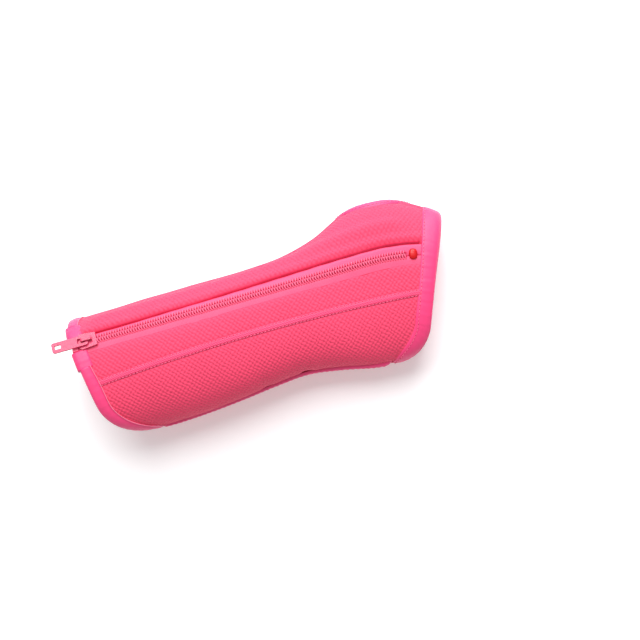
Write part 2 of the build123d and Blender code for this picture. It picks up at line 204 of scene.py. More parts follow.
def edge_x(y, hand):
    """The end edge in plan at y: a slanted line, rounded on the little-finger side."""
    sign = 1 if hand else -1
    at_zero, slant = HAND_EDGE if hand else FOREARM_EDGE
    line = at_zero + slant * y
    lean = sqrt(1 + slant * slant)
    middle_y = SIDE_LINE[sign] + CORNER
    middle_x = at_zero + slant * middle_y - sign * CORNER * lean
    touch_y = middle_y - sign * slant * CORNER / lean
    arc = middle_x + sign * np.sqrt(np.maximum(CORNER**2 - (np.minimum(y, touch_y) - middle_y) ** 2, 0))
    return np.where(y < touch_y, arc, line)


def edge_curve(g, hand):
    """The x of the end edge for each distance g round the cloth."""
    x = np.full(np.shape(g), 100.0 if hand else -100.0)
    for _ in range(60):
        x = 0.6 * x + 0.4 * edge_x(cloth(x, g)[..., 1], hand)
    return x


def seam_y(x):
    """The middle seam in plan."""
    return 0.6 - 0.00046 * (x - 35) ** 2


MIDDLE = girth_where(RULER, 1, seam_y(RULER), "back")
THUMB_LINE = girth_where(RULER, 2, FLAP_Z, "thumb")
LITTLE_LINE = girth_where(RULER, 2, FLAP_Z, "little")
WAY_ROUND = np.array([np.ptp(np.interp((0, 2 * pi), TURNS, row)) for row in LENGTHS])


def middle_seam(x):
    """Girth of the cover-stitched seam."""
    return np.interp(x, RULER, MIDDLE)


def thumb_side(x):
    """Girth of the thumb-side flap line."""
    return np.interp(x, RULER, THUMB_LINE)


def little_side(x):
    """Girth of the little-finger-side seam."""
    return np.interp(x, RULER, LITTLE_LINE)


def little_side_again(x):
    """The same seam, reached the long way round under the palm."""
    return little_side(x) + np.interp(x, RULER, WAY_ROUND)


HOLE_X = 79.0
HOLE_LENGTH, HOLE_WIDTH = 20.0, 12.3  # half axes of the thumb hole on the cloth
HOLE_GIRTH = float(girth_where(np.array([HOLE_X]), 2, 15.6, "thumb")[0])
print("thumb hole centre round the cloth, mm:", round(HOLE_GIRTH, 1))

# %% [markdown]
# ## Panels
# A panel of foam laminate isn't a flat sheet: it puffs between seams, dips along every stitched edge and
# turns over softly where it is cut. So a panel is a fine grid on the cloth, its outer face lifted by those
# effects, its inner face a laminate's thickness below, and the two joined round the rim.


# %% Relief of the cloth
def soft_step(value):
    """0 below 0, 1 above 1, eased between."""
    t = np.clip(value, 0, 1)
    return t * t * (3 - 2 * t)


def ridge(distance, half_width):
    """A rounded ridge, 1 at its crest and 0 past its half width."""
    return np.cos(np.clip(np.abs(distance) / half_width, 0, 1) * pi / 2) ** 2


def waves(x, g):
    """Slow unevenness of a worn, padded cloth."""
    return (
        0.16 * np.sin(0.071 * x + 0.05 * g + 0.6)
        + 0.12 * np.sin(0.13 * g - 0.047 * x + 2.1)
        + 0.08 * np.sin(0.19 * x + 0.11 * g + 4.0)
    )


def wrist_folds(x, g):
    """Shallow folds across both sides of the wrist, where the guard bends with the hand."""
    sides = soft_step((np.abs(g + 18) - 26) / 18)
    folds = 0.0
    for middle, lean, depth in ((2, 0.18, 0.55), (13, -0.12, 0.7), (25, 0.1, 0.5), (-12, -0.2, 0.35)):
        folds = folds - depth * ridge(x - middle - lean * (g + 18), 4.2)
    return folds * sides


def stay_ridge(x, g):
    """The soft ridge that the dorsal stay raises beside the zip."""
    crest = np.interp(x, (-90, 0, 60, 95), (13.0, 14.5, 18.0, 18.5))
    return 1.5 * ridge(g - crest, 6.0) * soft_step((x + 96) / 8) * soft_step((98 - x) / 14)


def panel_relief(x, g, to_rim):
    """Height of the panel's outer face above the plain cloth; to_rim is the distance to its edge."""
    rim_dip = -0.55 * (1 - soft_step(to_rim / 4.5))
    to_seam = np.abs(g - middle_seam(x))
    seam_dip = np.where((g < 0) & (g > -60), -0.35 * (1 - soft_step(to_seam / 4.0)), 0)
    return rim_dip + seam_dip + waves(x, g) + wrist_folds(x, g) + stay_ridge(x, g)


print("stay ridge at the middle, mm:", round(float(stay_ridge(0, 14.5)), 2))


# %% [markdown]
# Every piece is written straight into a mesh: a grid of points, its quads, and the place of each point on
# the flat cloth as its UV, so that a weave keeps its true size on every panel.


# %% Writing meshes
def run_along(points):
    """The distance along a line of points, from its start."""
    return np.concatenate([[0], np.cumsum(np.linalg.norm(np.diff(points, axis=0), axis=1))])


def rows_at(at, run, rows):
    """Rows of x, y and z read off at distances along a line."""
    return np.stack([np.interp(at, run, rows[:, axis]) for axis in range(3)], -1)


def faced_outward(made):
    """Turns a closed mesh's faces outward, and drops points that no face uses."""
    work = bmesh.new()
    work.from_mesh(made.data)
    bmesh.ops.delete(work, geom=[v for v in work.verts if not v.link_faces], context="VERTS")
    bmesh.ops.recalc_face_normals(work, faces=work.faces)
    work.to_mesh(made.data)
    work.free()
    print(f"{made.name}: {len(made.data.polygons)} faces")
    return made


def new_object(name, points, faces, flat):
    """A mesh object from points in mm; flat gives each point's place on the flat cloth, as its UV."""
    mesh = bpy.data.meshes.new(name)
    mesh.from_pydata((np.asarray(points, float) * MM).tolist(), [], [tuple(map(int, f)) for f in faces])
    mesh.validate()
    layer = mesh.uv_layers.new(name="UVMap")
    index = np.empty(len(mesh.loops), int)
    mesh.loops.foreach_get("vertex_index", index)
    layer.data.foreach_set("uv", (np.asarray(flat, float)[index] * MM).ravel())
    mesh.polygons.foreach_set("use_smooth", [True] * len(mesh.polygons))
    made = bpy.data.objects.new(name, mesh)
    bpy.context.scene.collection.objects.link(made)
    return made


def grid_faces(rows, columns, close_rows=False, close_columns=False):
    """Quads of a grid whose points are numbered row by row."""
    r = np.arange(rows if close_rows else rows - 1)
    c = np.arange(columns if close_columns else columns - 1)
    r, c = np.meshgrid(r, c, indexing="ij")
    nr, nc = (r + 1) % rows, (c + 1) % columns
    corners = (r * columns + c, nr * columns + c, nr * columns + nc, r * columns + nc)
    return np.stack(corners, -1).reshape(-1, 4)


def tube(path, radius, sides=6):
    """A round thread or wire along points, closed at both ends, as (points, faces, flat)."""
    path = np.asarray(path, float)
    along = np.gradient(path, axis=0)
    along /= np.linalg.norm(along, axis=1)[:, None] + 1e-9
    guide = np.array([0.0, 0.0, 1.0]) if abs(along[:, 2]).mean() < 0.8 else np.array([0.0, 1.0, 0.0])
    side = np.cross(along, guide)
    side /= np.linalg.norm(side, axis=1)[:, None] + 1e-9
    lift = np.cross(side, along)
    turn = np.linspace(0, 2 * pi, sides, endpoint=False)
    ring = side[:, None] * np.cos(turn)[None, :, None] + lift[:, None] * np.sin(turn)[None, :, None]
    points = (path[:, None] + ring * np.broadcast_to(radius, len(path))[:, None, None]).reshape(-1, 3)
    faces = grid_faces(len(path), sides, close_columns=True).tolist()
    faces += [list(range(sides)), list(range(len(points) - 1, len(points) - sides - 1, -1))]
    run = run_along(path)
    flat = np.stack(np.broadcast_arrays(run[:, None], turn[None] * 0.3), -1).reshape(-1, 2)
    return points, faces, flat


def joined(name, parts):
    """One mesh object from several (points, faces, flat) parts."""
    points, faces, flats, count = [], [], [], 0
    for part_points, part_faces, part_flat in parts:
        points.append(np.asarray(part_points, float).reshape(-1, 3))
        faces.extend([[v + count for v in face] for face in part_faces])
        flats.append(np.asarray(part_flat, float).reshape(-1, 2))
        count += len(points[-1])
    return new_object(name, np.concatenate(points), faces, np.concatenate(flats))


def swept(name, skin, flat, closed=False):
    """A closed solid from rows of points, each row one loop of its section."""
    rows, columns = skin.shape[:2]
    faces = grid_faces(rows, columns, close_rows=closed, close_columns=True).tolist()
    if not closed:
        faces += [list(range(columns)), list(range(rows * columns - 1, (rows - 1) * columns - 1, -1))]
    return faced_outward(new_object(name, skin.reshape(-1, 3), faces, flat.reshape(-1, 2)))


print("panel and thread helpers ready")

# %% [markdown]
# A panel's grid runs between two seams and the two end edges. Around the thumb hole the nearest grid points
# are moved onto the hole's edge before the faces inside it are left out, so that the cut is a clean oval.

# %% Thick panels
PANEL_LENGTH = 212  # sets how many cells a panel has along the arm
HOLE_MARGIN = 1.2  # the cloth stops this far inside the thumb hole's binding


def hole_reach(x, g):
    """1 on the thumb hole's edge, less inside it, measured on the flat cloth."""
    return np.hypot((x - HOLE_X) / (HOLE_LENGTH + HOLE_MARGIN), (g - HOLE_GIRTH) / (HOLE_WIDTH + HOLE_MARGIN))


def push_from_hole(x, g):
    """Moves grid points near the thumb hole's edge onto it, so that the cut is clean."""
    reach = hole_reach(x, g)
    near = np.abs(reach - 1) < 0.07
    scale = np.where(near, 1 / np.maximum(reach, 1e-6), 1.0)
    return HOLE_X + (x - HOLE_X) * scale, HOLE_GIRTH + (g - HOLE_GIRTH) * scale


FOREARM_START, HAND_START = -100.0, 95.0  # where the search for each end edge begins


def panel_grid(low, high, tuck, cell=1.3):
    """x and g over a panel between two seams and the two end edges, moved in by tuck from each edge."""
    across = int(np.ceil(np.max(high(RULER) - low(RULER)) / cell)) + 1
    along = int(PANEL_LENGTH / cell)
    v = np.linspace(0, 1, across)[:, None]
    u = np.linspace(0, 1, along)[None, :]
    starts, ends = np.full((across, 1), FOREARM_START), np.full((across, 1), HAND_START)
    for _ in range(60):
        for ends_x, hand, band in ((starts, False, FOREARM_BAND), (ends, True, -HAND_BAND)):
            g = low(ends_x) + v * (high(ends_x) - low(ends_x))
            aim = edge_x(cloth(ends_x, g)[..., 1], hand) + band - np.sign(band) * tuck
            ends_x += 0.35 * (aim - ends_x)
    x = starts + u * (ends - starts)
    return x, low(x) + v * (high(x) - low(x))


def rolled_rim(distance, radius):
    """How far the face drops near a rim, like a quarter round."""
    near = np.clip(distance / radius, 0, 1)
    return -radius * (1 - np.sqrt(np.clip(1 - (1 - near) ** 2, 0, 1)))


def sheet_piece(name, low, high, face, back, tuck=2.5, cell=1.3, holed=False, rim=1.1):
    """A closed panel between two seams: face and back give the height of its two sides over the cloth."""
    x, g = panel_grid(low, high, tuck, cell)
    to_low, to_high = g - low(x), high(x) - g
    to_rim = np.minimum(to_low, to_high)
    if holed:
        x, g = push_from_hole(x, g)
    top = face(x, g, to_low, to_high) + rolled_rim(to_rim, rim)
    bottom = np.minimum(back(x, g, to_low, to_high), top - 0.3)
    rows, columns = x.shape
    count = rows * columns
    points = np.concatenate([cloth(x, g, top).reshape(-1, 3), cloth(x, g, bottom).reshape(-1, 3)])
    flat = np.tile(np.stack([x, g], -1).reshape(-1, 2), (2, 1))
    quads = grid_faces(rows, columns)
    if holed:
        reach = hole_reach(x, g).ravel()
        quads = quads[reach[quads].mean(axis=1) > 1.0]
    edges = {}
    for quad in quads.tolist():
        for a, b in zip(quad, quad[1:] + quad[:1]):
            edges[(a, b)] = edges.get((a, b), 0) + 1
    open_edges = [edge for edge in edges if (edge[1], edge[0]) not in edges]
    sides = [(b, a, a + count, b + count) for a, b in open_edges]
    faces = quads.tolist() + (quads[:, ::-1] + count).tolist() + sides
    return faced_outward(new_object(name, points, faces, flat))


# %% [markdown]
# ## The four shell panels
# The palmar panel goes under the hand from one side to the other. On the back, one panel lies on the thumb
# side of the zip, one between the zip and the cover-stitched seam, and one on the little-finger side. The
# thumb-side panel folds over along the zip and stands a little proud of the tape; the middle panel sinks
# to meet the tape almost flush. Where the back panels can open, the palmar panel keeps a thin tongue under
# their edge, as a lapped seam does.

# %% Shell panels
LAP = 3.5  # how far the palmar panel's tongue runs under the back panels
SKIVE = 1.6  # how much thinner a back panel is over that tongue
BACK = -SHELL + 0.05  # the inner ply's height over the cloth
SEAM_RELIEF = 9.0  # a seam's own dip is enough there, so its panels are treated as this far from a rim


def palmar_low(x):
    return thumb_side(x) - LAP


def palmar_high(x):
    return little_side_again(x) + LAP


def radial_low(x):
    return np.interp(x, (-100, -75, -48, 0, 40, 100), (5.4, 5.2, 5.8, 6.8, 7.6, 7.8))


def middle_high(x):
    return np.full(np.shape(x), -4.9)


def palmar_face(x, g, to_low, to_high):
    tongue = -1.75 * (1 - soft_step((np.minimum(to_low, to_high) - LAP) / 0.8))
    return 0.8 * waves(x, g) + tongue


def radial_face(x, g, to_low, to_high):
    fold = 0.4 * ridge(to_low - 2.4, 3.2) - 0.75 * (1 - soft_step(to_low / 2.2))
    return panel_relief(x, g, to_high) + fold


def middle_face(x, g, to_low, to_high):
    return panel_relief(x, g, SEAM_RELIEF) - 0.45 * (1 - soft_step(to_high / 5.0))


def ulnar_face(x, g, to_low, to_high):
    return panel_relief(x, g, to_low + 1.0)


def inner_ply(x, g, to_low, to_high):
    return np.full(np.shape(x), BACK)


def skived_low(x, g, to_low, to_high):
    return BACK + SKIVE * (1 - soft_step((to_low - LAP) / 1.5))


def skived_high(x, g, to_low, to_high):
    return BACK + SKIVE * (1 - soft_step((to_high - LAP) / 1.5))


shell = {
    "palmar_shell": sheet_piece("palmar_shell", palmar_low, palmar_high, palmar_face, inner_ply, holed=True),
    "thumb_side_shell": sheet_piece(
        "thumb_side_shell", radial_low, thumb_side, radial_face, skived_high, holed=True, rim=1.0
    ),
    "middle_shell": sheet_piece("middle_shell", middle_seam, middle_high, middle_face, inner_ply),
    "little_side_shell": sheet_piece(
        "little_side_shell", little_side, middle_seam, ulnar_face, skived_low
    ),
}

# %% [markdown]
# Beside the zip the thumb-side panel is turned under, which leaves a thin smooth roll in place of a cut
# edge. A flat stay lies inside that panel. Both are narrow strips.

# %% Folded edge beside the zip
FAR_FROM_SIDE = 20.0  # no side seam is near the zip
FOLD_HALF, FOLD_RISE = 0.42, 0.45
STAY_X, STAY_G = (-92, 48), (10, 16)
STAY_FACES = (-2.2, -3.0)


def fold_height(x, g, rise):
    """The thumb-side panel's folded edge: the panel's own height there, with a small change."""
    return radial_face(x, g, g - radial_low(x), np.full(np.shape(x), FAR_FROM_SIDE)) + rise


def strip(name, x, g, top, bottom):
    """A thin closed strip on the cloth, between two heights over it."""
    points = np.concatenate([cloth(x, g, top), cloth(x, g, bottom)[:, ::-1]], axis=1)
    flat = np.tile(np.stack(np.broadcast_arrays(x, g), -1), (1, 2, 1))
    return swept(name, points, flat)


def turned_edge():
    """The smooth turned edge of the thumb-side panel, coloured darker as painted shade along the zip."""
    x = np.arange(-97.0, 100.4, 0.8)[:, None]
    across = np.linspace(-1, 1, 9)[None]
    g = radial_low(x) + 0.05 + FOLD_HALF * across
    top = fold_height(x, g, -0.4) + FOLD_RISE * np.sqrt(np.clip(1 - across**2, 0, 1))
    return strip("thumb_side_folded_edge", x, g, top, -2.9)


folded_edge = turned_edge()
stay_strip = strip(
    "dorsal_stay_strip", np.linspace(*STAY_X, 90)[:, None], np.linspace(*STAY_G, 5)[None], *STAY_FACES
)

# %% [markdown]
# ## Linings
# Inside, a thin brushed lining backs each panel. It's seen through both ends, and when the back opens.


# %% Linings
def lining_face(x, g, to_low, to_high):
    return np.full(np.shape(x), -SHELL - 0.05)


def lining_back(x, g, to_low, to_high):
    return -SHELL - LINING + 0.12 * np.sin(0.35 * x + 0.2 * g) * np.sin(0.3 * g - 0.1 * x)


LINING_SEAMS = {
    "palmar_inside": (thumb_side, little_side_again, True),
    "thumb_side_inside": (radial_low, thumb_side, True),
    "little_side_inside": (little_side, middle_high, False),
}
linings = {
    name: sheet_piece(name, low, high, lining_face, lining_back, tuck=1.5, cell=2.2, holed=holed, rim=0.3)
    for name, (low, high, holed) in LINING_SEAMS.items()
}

# %% [markdown]
# ## Bindings
# A binding is a satin tape folded over a raw edge, so its section is a flat U: out over the face, round the
# edge, and back inside. It's swept along the edge as a curve drawn on the flat cloth, with its inward
# direction taken from that curve, so that it keeps its width round the corners. Its inner edges turn under,
# its face is quilted a little between stitches, and slight puckers run across it.


# %% Folded bindings
def binding_section(width, wall, puff):
    """The U of a folded binding: distance in from the edge, and height over the cloth."""
    outer = [(width, -0.25), (width - 0.15, 0.25), (width - 0.9, 0.42)]
    outer += [(width * share, 0.42 + puff * sin(pi * share)) for share in (0.75, 0.6, 0.45, 0.3)]
    middle = (puff + 0.3 - wall) / 2
    half = (puff + 0.3 + wall) / 2
    bend = [
        (1.5 - 1.9 * cos(turn), middle + half * sin(turn))
        for turn in np.linspace(radians(62), radians(-62), 9)
    ]
    inner = [(width * share, -wall - 0.4 - 0.5 * puff * sin(pi * share)) for share in (0.35, 0.6, 0.85)]
    return np.array(outer + bend + inner + [(width, -wall - 0.1), (width, -wall + 0.3)])


def edge_frame(x, g, towards, closed=False):
    """Points along an edge and the unit steps over the cloth from it, on the side of towards."""
    points = cloth(x, g)
    if closed:
        along = np.roll(points, -1, axis=0) - np.roll(points, 1, axis=0)
    else:
        along = np.gradient(points, axis=0)
    inward = unit(np.cross(unit(along), unit(cloth(x, g, 1.0) - points)))
    return points, inward * np.sign(np.sum(inward * towards))


def folded_binding(name, edge, width, puff=0.35, closed=False, wall=SHELL + LINING):
    """A binding along an edge, given as its points and inward steps."""
    points, inward = edge
    section = binding_section(float(np.max(width)), wall, puff)
    narrow = np.broadcast_to(np.asarray(width, float), len(points)) / float(np.max(width))
    run = run_along(points)
    pucker = 0.04 * np.sin(run * 1.35) + 0.05 * np.sin(run * 0.31 + 1.3) + 0.03 * np.sin(run * 2.3 + 0.4)
    reach = section[None, :, 0] * np.where(section[None, :, 0] > 2, narrow[:, None], 1)
    height = section[None, :, 1] + pucker[:, None] * np.clip(section[None, :, 1] + 0.5, 0, 1)
    skin = on_cloth(points[:, None] + inward[:, None] * reach[..., None], height)
    across = np.concatenate([[0], np.cumsum(np.hypot(*np.diff(section, axis=0).T))])
    flat = np.stack(np.broadcast_arrays(run[:, None], across[None]), -1)
    return swept(name, skin, flat, closed)


def end_edge(g, hand):
    """An end edge over the distances g round the cloth."""
    return edge_frame(edge_curve(g, hand), g, np.array([-1.0 if hand else 1.0, 0, 0]))


def stretch(first, last, step=1.0):
    """Evenly spaced distances from first to last."""
    return np.linspace(first, last, int(abs(last - first) / step) + 2)


UNDER_PALM = -105.0  # the bindings' ends meet here, under the palm
hand_start = np.array([UNDER_PALM])
around_hand = float(np.interp(edge_curve(hand_start, True), RULER, WAY_ROUND)[0])
g_hand = np.linspace(UNDER_PALM, UNDER_PALM + around_hand, 300, endpoint=False)
hand_edge = edge_frame(edge_curve(g_hand, True), g_hand, np.array([-1.0, 0, 0]), closed=True)
bindings = {"hand_end_fold": folded_binding("hand_end_fold", hand_edge, HAND_BAND, 0.5, closed=True)}

CORNERS_AT = {"thumb": -100.0, "little": -84.0}  # x where the forearm edge meets each side seam
side_thumb, side_little = float(thumb_side(CORNERS_AT["thumb"])), float(little_side(CORNERS_AT["little"]))
around_forearm = float(np.interp(-90, RULER, WAY_ROUND))
FOREARM_RUNS = {
    "thumb_side": stretch(12.8, side_thumb),
    "little_side": stretch(-14.8, side_little),
    "palmar": stretch(side_thumb + 0.4, side_little + around_forearm - 0.4),
}


def forearm_width(g):
    """The forearm binding tapers towards the zip."""
    return FOREARM_BAND * (0.72 + 0.28 * soft_step(np.abs(g) / 30))


for word, g_run in FOREARM_RUNS.items():
    name = f"forearm_fold_{word}"
    bindings[name] = folded_binding(name, end_edge(g_run, False), forearm_width(g_run), 0.45)

turn = np.linspace(0, 2 * pi, 120, endpoint=False)
hole_x, hole_g = HOLE_X + HOLE_LENGTH * np.cos(turn), HOLE_GIRTH + HOLE_WIDTH * np.sin(turn)
hole_points = cloth(hole_x, hole_g)
hole_edge = edge_frame(hole_x, hole_g, hole_points - hole_points.mean(axis=0), closed=True)
bindings["thumb_hole_fold"] = folded_binding("thumb_hole_fold", hole_edge, 5.2, 0.5, closed=True)

# %% [markdown]
# ## The bound seam on the little-finger side
# The back and palmar panels meet in a seam that is bound with the same satin tape. Worn, it shows as a thin
# rolled edge along that side, joining the two end bindings. A shallow half round, lifted off the cloth and
# puckered along its length, is enough for it.


# %% Side seam
def both_faces(along, g):
    """The flat place of a band's points: out over its top, and back along its underside."""
    return np.stack([np.concatenate([along, along], 1), np.concatenate([g, g[:, ::-1]], 1)], -1)


def lying_band(name, x, g_low, g_high, profile, step=9):
    """A band that lies on the cloth between two distances round it; profile is its height from -1 to 1."""
    s = np.linspace(-1, 1, step)
    g = g_low[:, None] + (s[None] + 1) / 2 * (g_high - g_low)[:, None]
    along = np.broadcast_to(x[:, None], g.shape)
    top = cloth(along, g, profile(along, s[None]))
    under = cloth(along, g, -0.45)
    return swept(name, np.concatenate([top, under[:, ::-1]], axis=1), both_faces(along, g))


SIDE_X = (-72.0, 69.0)  # the seam runs between the two end bindings


def rolled_profile(x, s):
    """A half round with puckers where the stitches pull it in."""
    ends = soft_step((x - SIDE_X[0] + 1) / 6) * soft_step((SIDE_X[1] + 1 - x) / 6)
    return (2.0 * ends + 0.12 * np.sin(2.1 * x)) * np.sqrt(np.clip(1 - s**2, 0, 1)) - 0.38


x_side = np.arange(*SIDE_X, 0.8)
seam_g = little_side(x_side)
bindings["little_side_fold"] = lying_band(
    "little_side_fold", x_side, seam_g - 3.6, seam_g + 1.2, rolled_profile
)

# %% [markdown]
# ## The cover-stitched band
# Down the middle of the back, two panels are butted and covered by a narrow knitted band. Two needle rows
# hold it, and a looper thread zigzags between them. The band is one thin piece, and the threads another.


# %% Middle seam band and its threads
BAND_HALF, BAND_TOP = 2.0, 0.40
ROW, PITCH = 1.5, 2.1  # each needle row's distance from the seam, and its stitch length


def band_profile(s):
    """Almost flat, dented where the two needle rows pull it down."""
    dent = 0.34 * (ridge(s - 0.72, 0.3) + ridge(s + 0.72, 0.3))
    return 0.42 + 0.30 * np.sqrt(np.clip(1 - s**4, 0, 1)) - dent


def band_bed(x):
    """Height of the panels along the middle seam."""
    return panel_relief(x, middle_seam(x), SEAM_RELIEF)


x_mid = np.arange(-98.0, 96.5, 0.8)
g_mid = middle_seam(x_mid)
middle_band = lying_band(
    "middle_seam_band",
    x_mid,
    g_mid - BAND_HALF,
    g_mid + BAND_HALF,
    lambda x, s: band_profile(s) + band_bed(x),
    step=17,
)


def seam_line(x, g, out=0.0):
    """A line on the cloth as points and outward unit steps."""
    points = cloth(x, g, out)
    return points, unit(cloth(x, g, np.asarray(out) + 1.0) - points)


def edge_line(edge, reach, out=0.0):
    """A line beside a bound edge, at reach in from it, as points and outward unit steps."""
    points, inward = edge
    place = points + inward * np.broadcast_to(reach, len(points))[:, None]
    return on_cloth(place, out), unit(on_cloth(place, out + 1.0) - on_cloth(place, out))


def stitches(line, pitch, radius=0.16, dip=0.38, share=0.74):
    """Separate lock stitches along a line, each rising from one hole and diving into the next."""
    points, outward = line
    run = run_along(points)
    rise = np.array([-dip, 0.08, 0.16, 0.16, 0.08, -dip])[:, None]
    parts = []
    for k in range(int(run[-1] / pitch)):
        at = (k + np.linspace((1 - share) / 2, (1 + share) / 2, 6)) * pitch
        parts.append(tube(rows_at(at, run, points) + rows_at(at, run, outward) * rise, radius, 5))
    return parts


def needle_holes(line, pitch, size=0.34):
    """The pit a thread pulls at each needle hole, its shade painted as a small dark bead sunk in the cloth.
    """
    points = line[0]
    run = run_along(points)
    parts = []
    for k in range(1, int(run[-1] / pitch)):
        at = k * pitch + np.array([-size, -size * 0.5, size * 0.5, size])
        parts.append(tube(rows_at(at, run, points), np.array([0.12, 1.0, 1.0, 0.12]) * size, 6))
    return parts


def zigzag(x, half, pitch, out, radius=0.13):
    """The looper thread between two needle rows of the middle seam."""
    turns = np.arange(x[0], x[-1], pitch / 2)
    side = np.where(np.arange(len(turns)) % 2 == 0, half, -half)
    fine = np.linspace(0, len(turns) - 1, len(turns) * 4)
    line_x = np.interp(fine, np.arange(len(turns)), turns)
    line_g = middle_seam(line_x) + np.interp(fine, np.arange(len(turns)), side)
    return [tube(cloth(line_x, line_g, out(line_x)), radius, 4)]


def band_height(x):
    """Height of the middle band over the plain cloth."""
    return band_bed(x) + BAND_TOP


threads, holes = {}, {}


def add_threads(name, parts):
    """Joins threads into one piece, kept under its name."""
    threads[name] = joined(name, parts)
    print(f"{name}: {len(threads[name].data.polygons)} faces")


upper_row = seam_line(x_mid, g_mid + ROW, band_height(x_mid))
lower_row = seam_line(x_mid, g_mid - ROW, band_height(x_mid))
looper = zigzag(x_mid, 1.25, PITCH, lambda x: band_height(x) + 0.12)
add_threads("middle_seam_threads", stitches(upper_row, PITCH) + stitches(lower_row, PITCH) + looper)
holes["middle_seam_holes"] = joined(
    "middle_seam_holes", needle_holes(lower_row, PITCH, 0.36) + needle_holes(upper_row, PITCH, 0.24)
)

# %% [markdown]
# ## Stitches of the bindings
# A binding is held by one row of lock stitches near its inner edge. On the forearm end that row sits just
# past the binding, on a thin cord of thread. Separate short tubes cost little and catch the light.

# %% Binding stitches
HAND_PITCH = 2.2
closed_hand_edge = tuple(np.concatenate([part, part[:1]]) for part in hand_edge)
hand_line = edge_line(closed_hand_edge, HAND_BAND - 1.4, 0.62)
add_threads("hand_end_threads", stitches(hand_line, HAND_PITCH, 0.15))
holes["hand_end_holes"] = joined("hand_end_holes", needle_holes(hand_line, HAND_PITCH, 0.22))
for word, g_run in FOREARM_RUNS.items():
    line = edge_line(end_edge(g_run, False), forearm_width(g_run) + 0.25, 0.45)
    add_threads(f"forearm_threads_{word}", [tube(line[0], 0.28, 6)] + stitches(line, 2.6, 0.14))
closed_hole_edge = tuple(np.concatenate([part, part[:1]]) for part in hole_edge)
add_threads("thumb_hole_threads", stitches(edge_line(closed_hole_edge, 4.3, 0.6), 2.4))

# %% [markdown]
# ## The zip
# A coil zip has a monofilament wound into loops on each tape. The loops of one side sit half a pitch from
# those of the other, and their rounded heads pass the centre line to lock. Each coil is one long wire swept
# along a looped path, which gives the fine cross ridges of the real chain. The tapes are thin woven strips.

# %% Zip frame
CHAIN_START, CHAIN_END = -96.0, 92.5
COIL_PITCH, COIL_WIRE = 1.5, 0.34
TAPE_X = (-104.4, 106.0)
TAPE_THICKNESS = 0.55


def zip_point(x, across, up):
    """A point beside the zip: across is towards the thumb, up is out of the cloth."""
    x, across, up = np.broadcast_arrays(np.asarray(x, float), across, up)
    origin = np.stack([x, zip_y(x), zip_z(x)], -1)
    step = 0.5
    ahead = np.stack([x + step, zip_y(x + step), zip_z(x + step)], -1) - origin
    ahead /= np.linalg.norm(ahead, axis=-1)[..., None]
    out = np.cross(ahead, cloth(x, 1.2) - cloth(x, -1.2))
    out /= np.linalg.norm(out, axis=-1)[..., None]
    beside = np.cross(out, ahead)
    return origin + beside * across[..., None] + out * up[..., None]


print("zip length, mm:", CHAIN_END - CHAIN_START)

# %% [markdown]
# Each tape lies on the panels' rims and dips at the centre to make room for the coil. The thumb side's tape
# runs in under the turned edge. The wire's path repeats one loop, so eight points are all that it needs. A
# core fills the loops; its dark colour is painted shade, so the gaps between turns stay dark from every side.

# %% Tapes and coils
TAPE_EDGE = {1: 10.0, -1: 6.6}  # the thumb side's tape runs in under the folded panel
TAPE_HEIGHT = {1: -1.3, -1: -0.55}


def zip_tape(name, side):
    """A woven tape from just beside the centre line to the panel's edge."""
    x = np.arange(*TAPE_X, 1.6)[:, None]
    across = np.linspace(0, 1, 11)[None]
    inner = np.where((x < -96) & (x > -99.6), 0.9, 0.4)
    spread = inner + (TAPE_EDGE[side] - inner) * across
    top_height = TAPE_HEIGHT[side] + 0.10 * np.sin(0.5 * x) * across - 0.5 * (1 - soft_step(spread / 3.2))
    if side > 0:
        top_height = top_height - 1.2 * soft_step((spread - radial_low(x) + 1.2) / 1.6)
    drape = cloth(x, side * spread, top_height)
    under = cloth(x, side * spread, top_height - TAPE_THICKNESS)
    along = np.broadcast_to(x, spread.shape)
    return swept(name, np.concatenate([drape, under[:, ::-1]], axis=1), both_faces(along, spread))


LOOP = np.array([  # one turn of the coil: share of the pitch, across, up
    (0.00, 2.25, -1.20), (0.10, 1.00, -1.25), (0.22, -0.25, -1.15), (0.32, -0.50, -0.65),
    (0.42, -0.25, -0.15), (0.55, 1.00, 0.00), (0.75, 2.10, -0.10), (0.90, 2.45, -0.65),
])


def zip_coil(name, side):
    """The monofilament of one side, as one wire."""
    shift = 0 if side > 0 else 0.5
    turns = np.arange(int((CHAIN_END - CHAIN_START) / COIL_PITCH) - 1) + shift
    x = CHAIN_START + 0.4 + (turns[:, None] + LOOP[None, :, 0]) * COIL_PITCH
    across = np.broadcast_to(side * LOOP[None, :, 1], x.shape)
    up = np.broadcast_to(LOOP[None, :, 2], x.shape)
    path = zip_point(x.ravel(), across.ravel(), up.ravel())
    return joined(name, [tube(path, COIL_WIRE, 6)])


def coil_core(name, side):
    """The core that runs inside the coil; its dark colour is painted shade between the turns."""
    x = np.linspace(CHAIN_START + 1, CHAIN_END - 1, 220)
    return joined(name, [tube(zip_point(x, side * 1.15, -0.68), 0.3, 6)])


zip_tapes, zip_coils, zip_cores = {}, {}, {}
for side, word in ((1, "thumb_side"), (-1, "little_side")):
    zip_tapes[word] = zip_tape(f"zip_tape_{word}", side)
    zip_coils[word] = zip_coil(f"zip_coil_{word}", side)
    zip_cores[word] = coil_core(f"zip_core_{word}", side)
    print(word, "coil faces:", len(zip_coils[word].data.polygons))

# %% [markdown]
# ## The stop
# At the hand end a red bead is moulded over both coils, so the slider can't run off. It's swept through
# rounded squares that swell and shrink along the zip, which gives the soft pillow shape of moulded plastic.


# %% Moulded stop
def squared(value, power):
    """A sine or cosine pushed outward, which turns a circle into a rounded square."""
    return np.sign(value) * np.abs(value) ** power


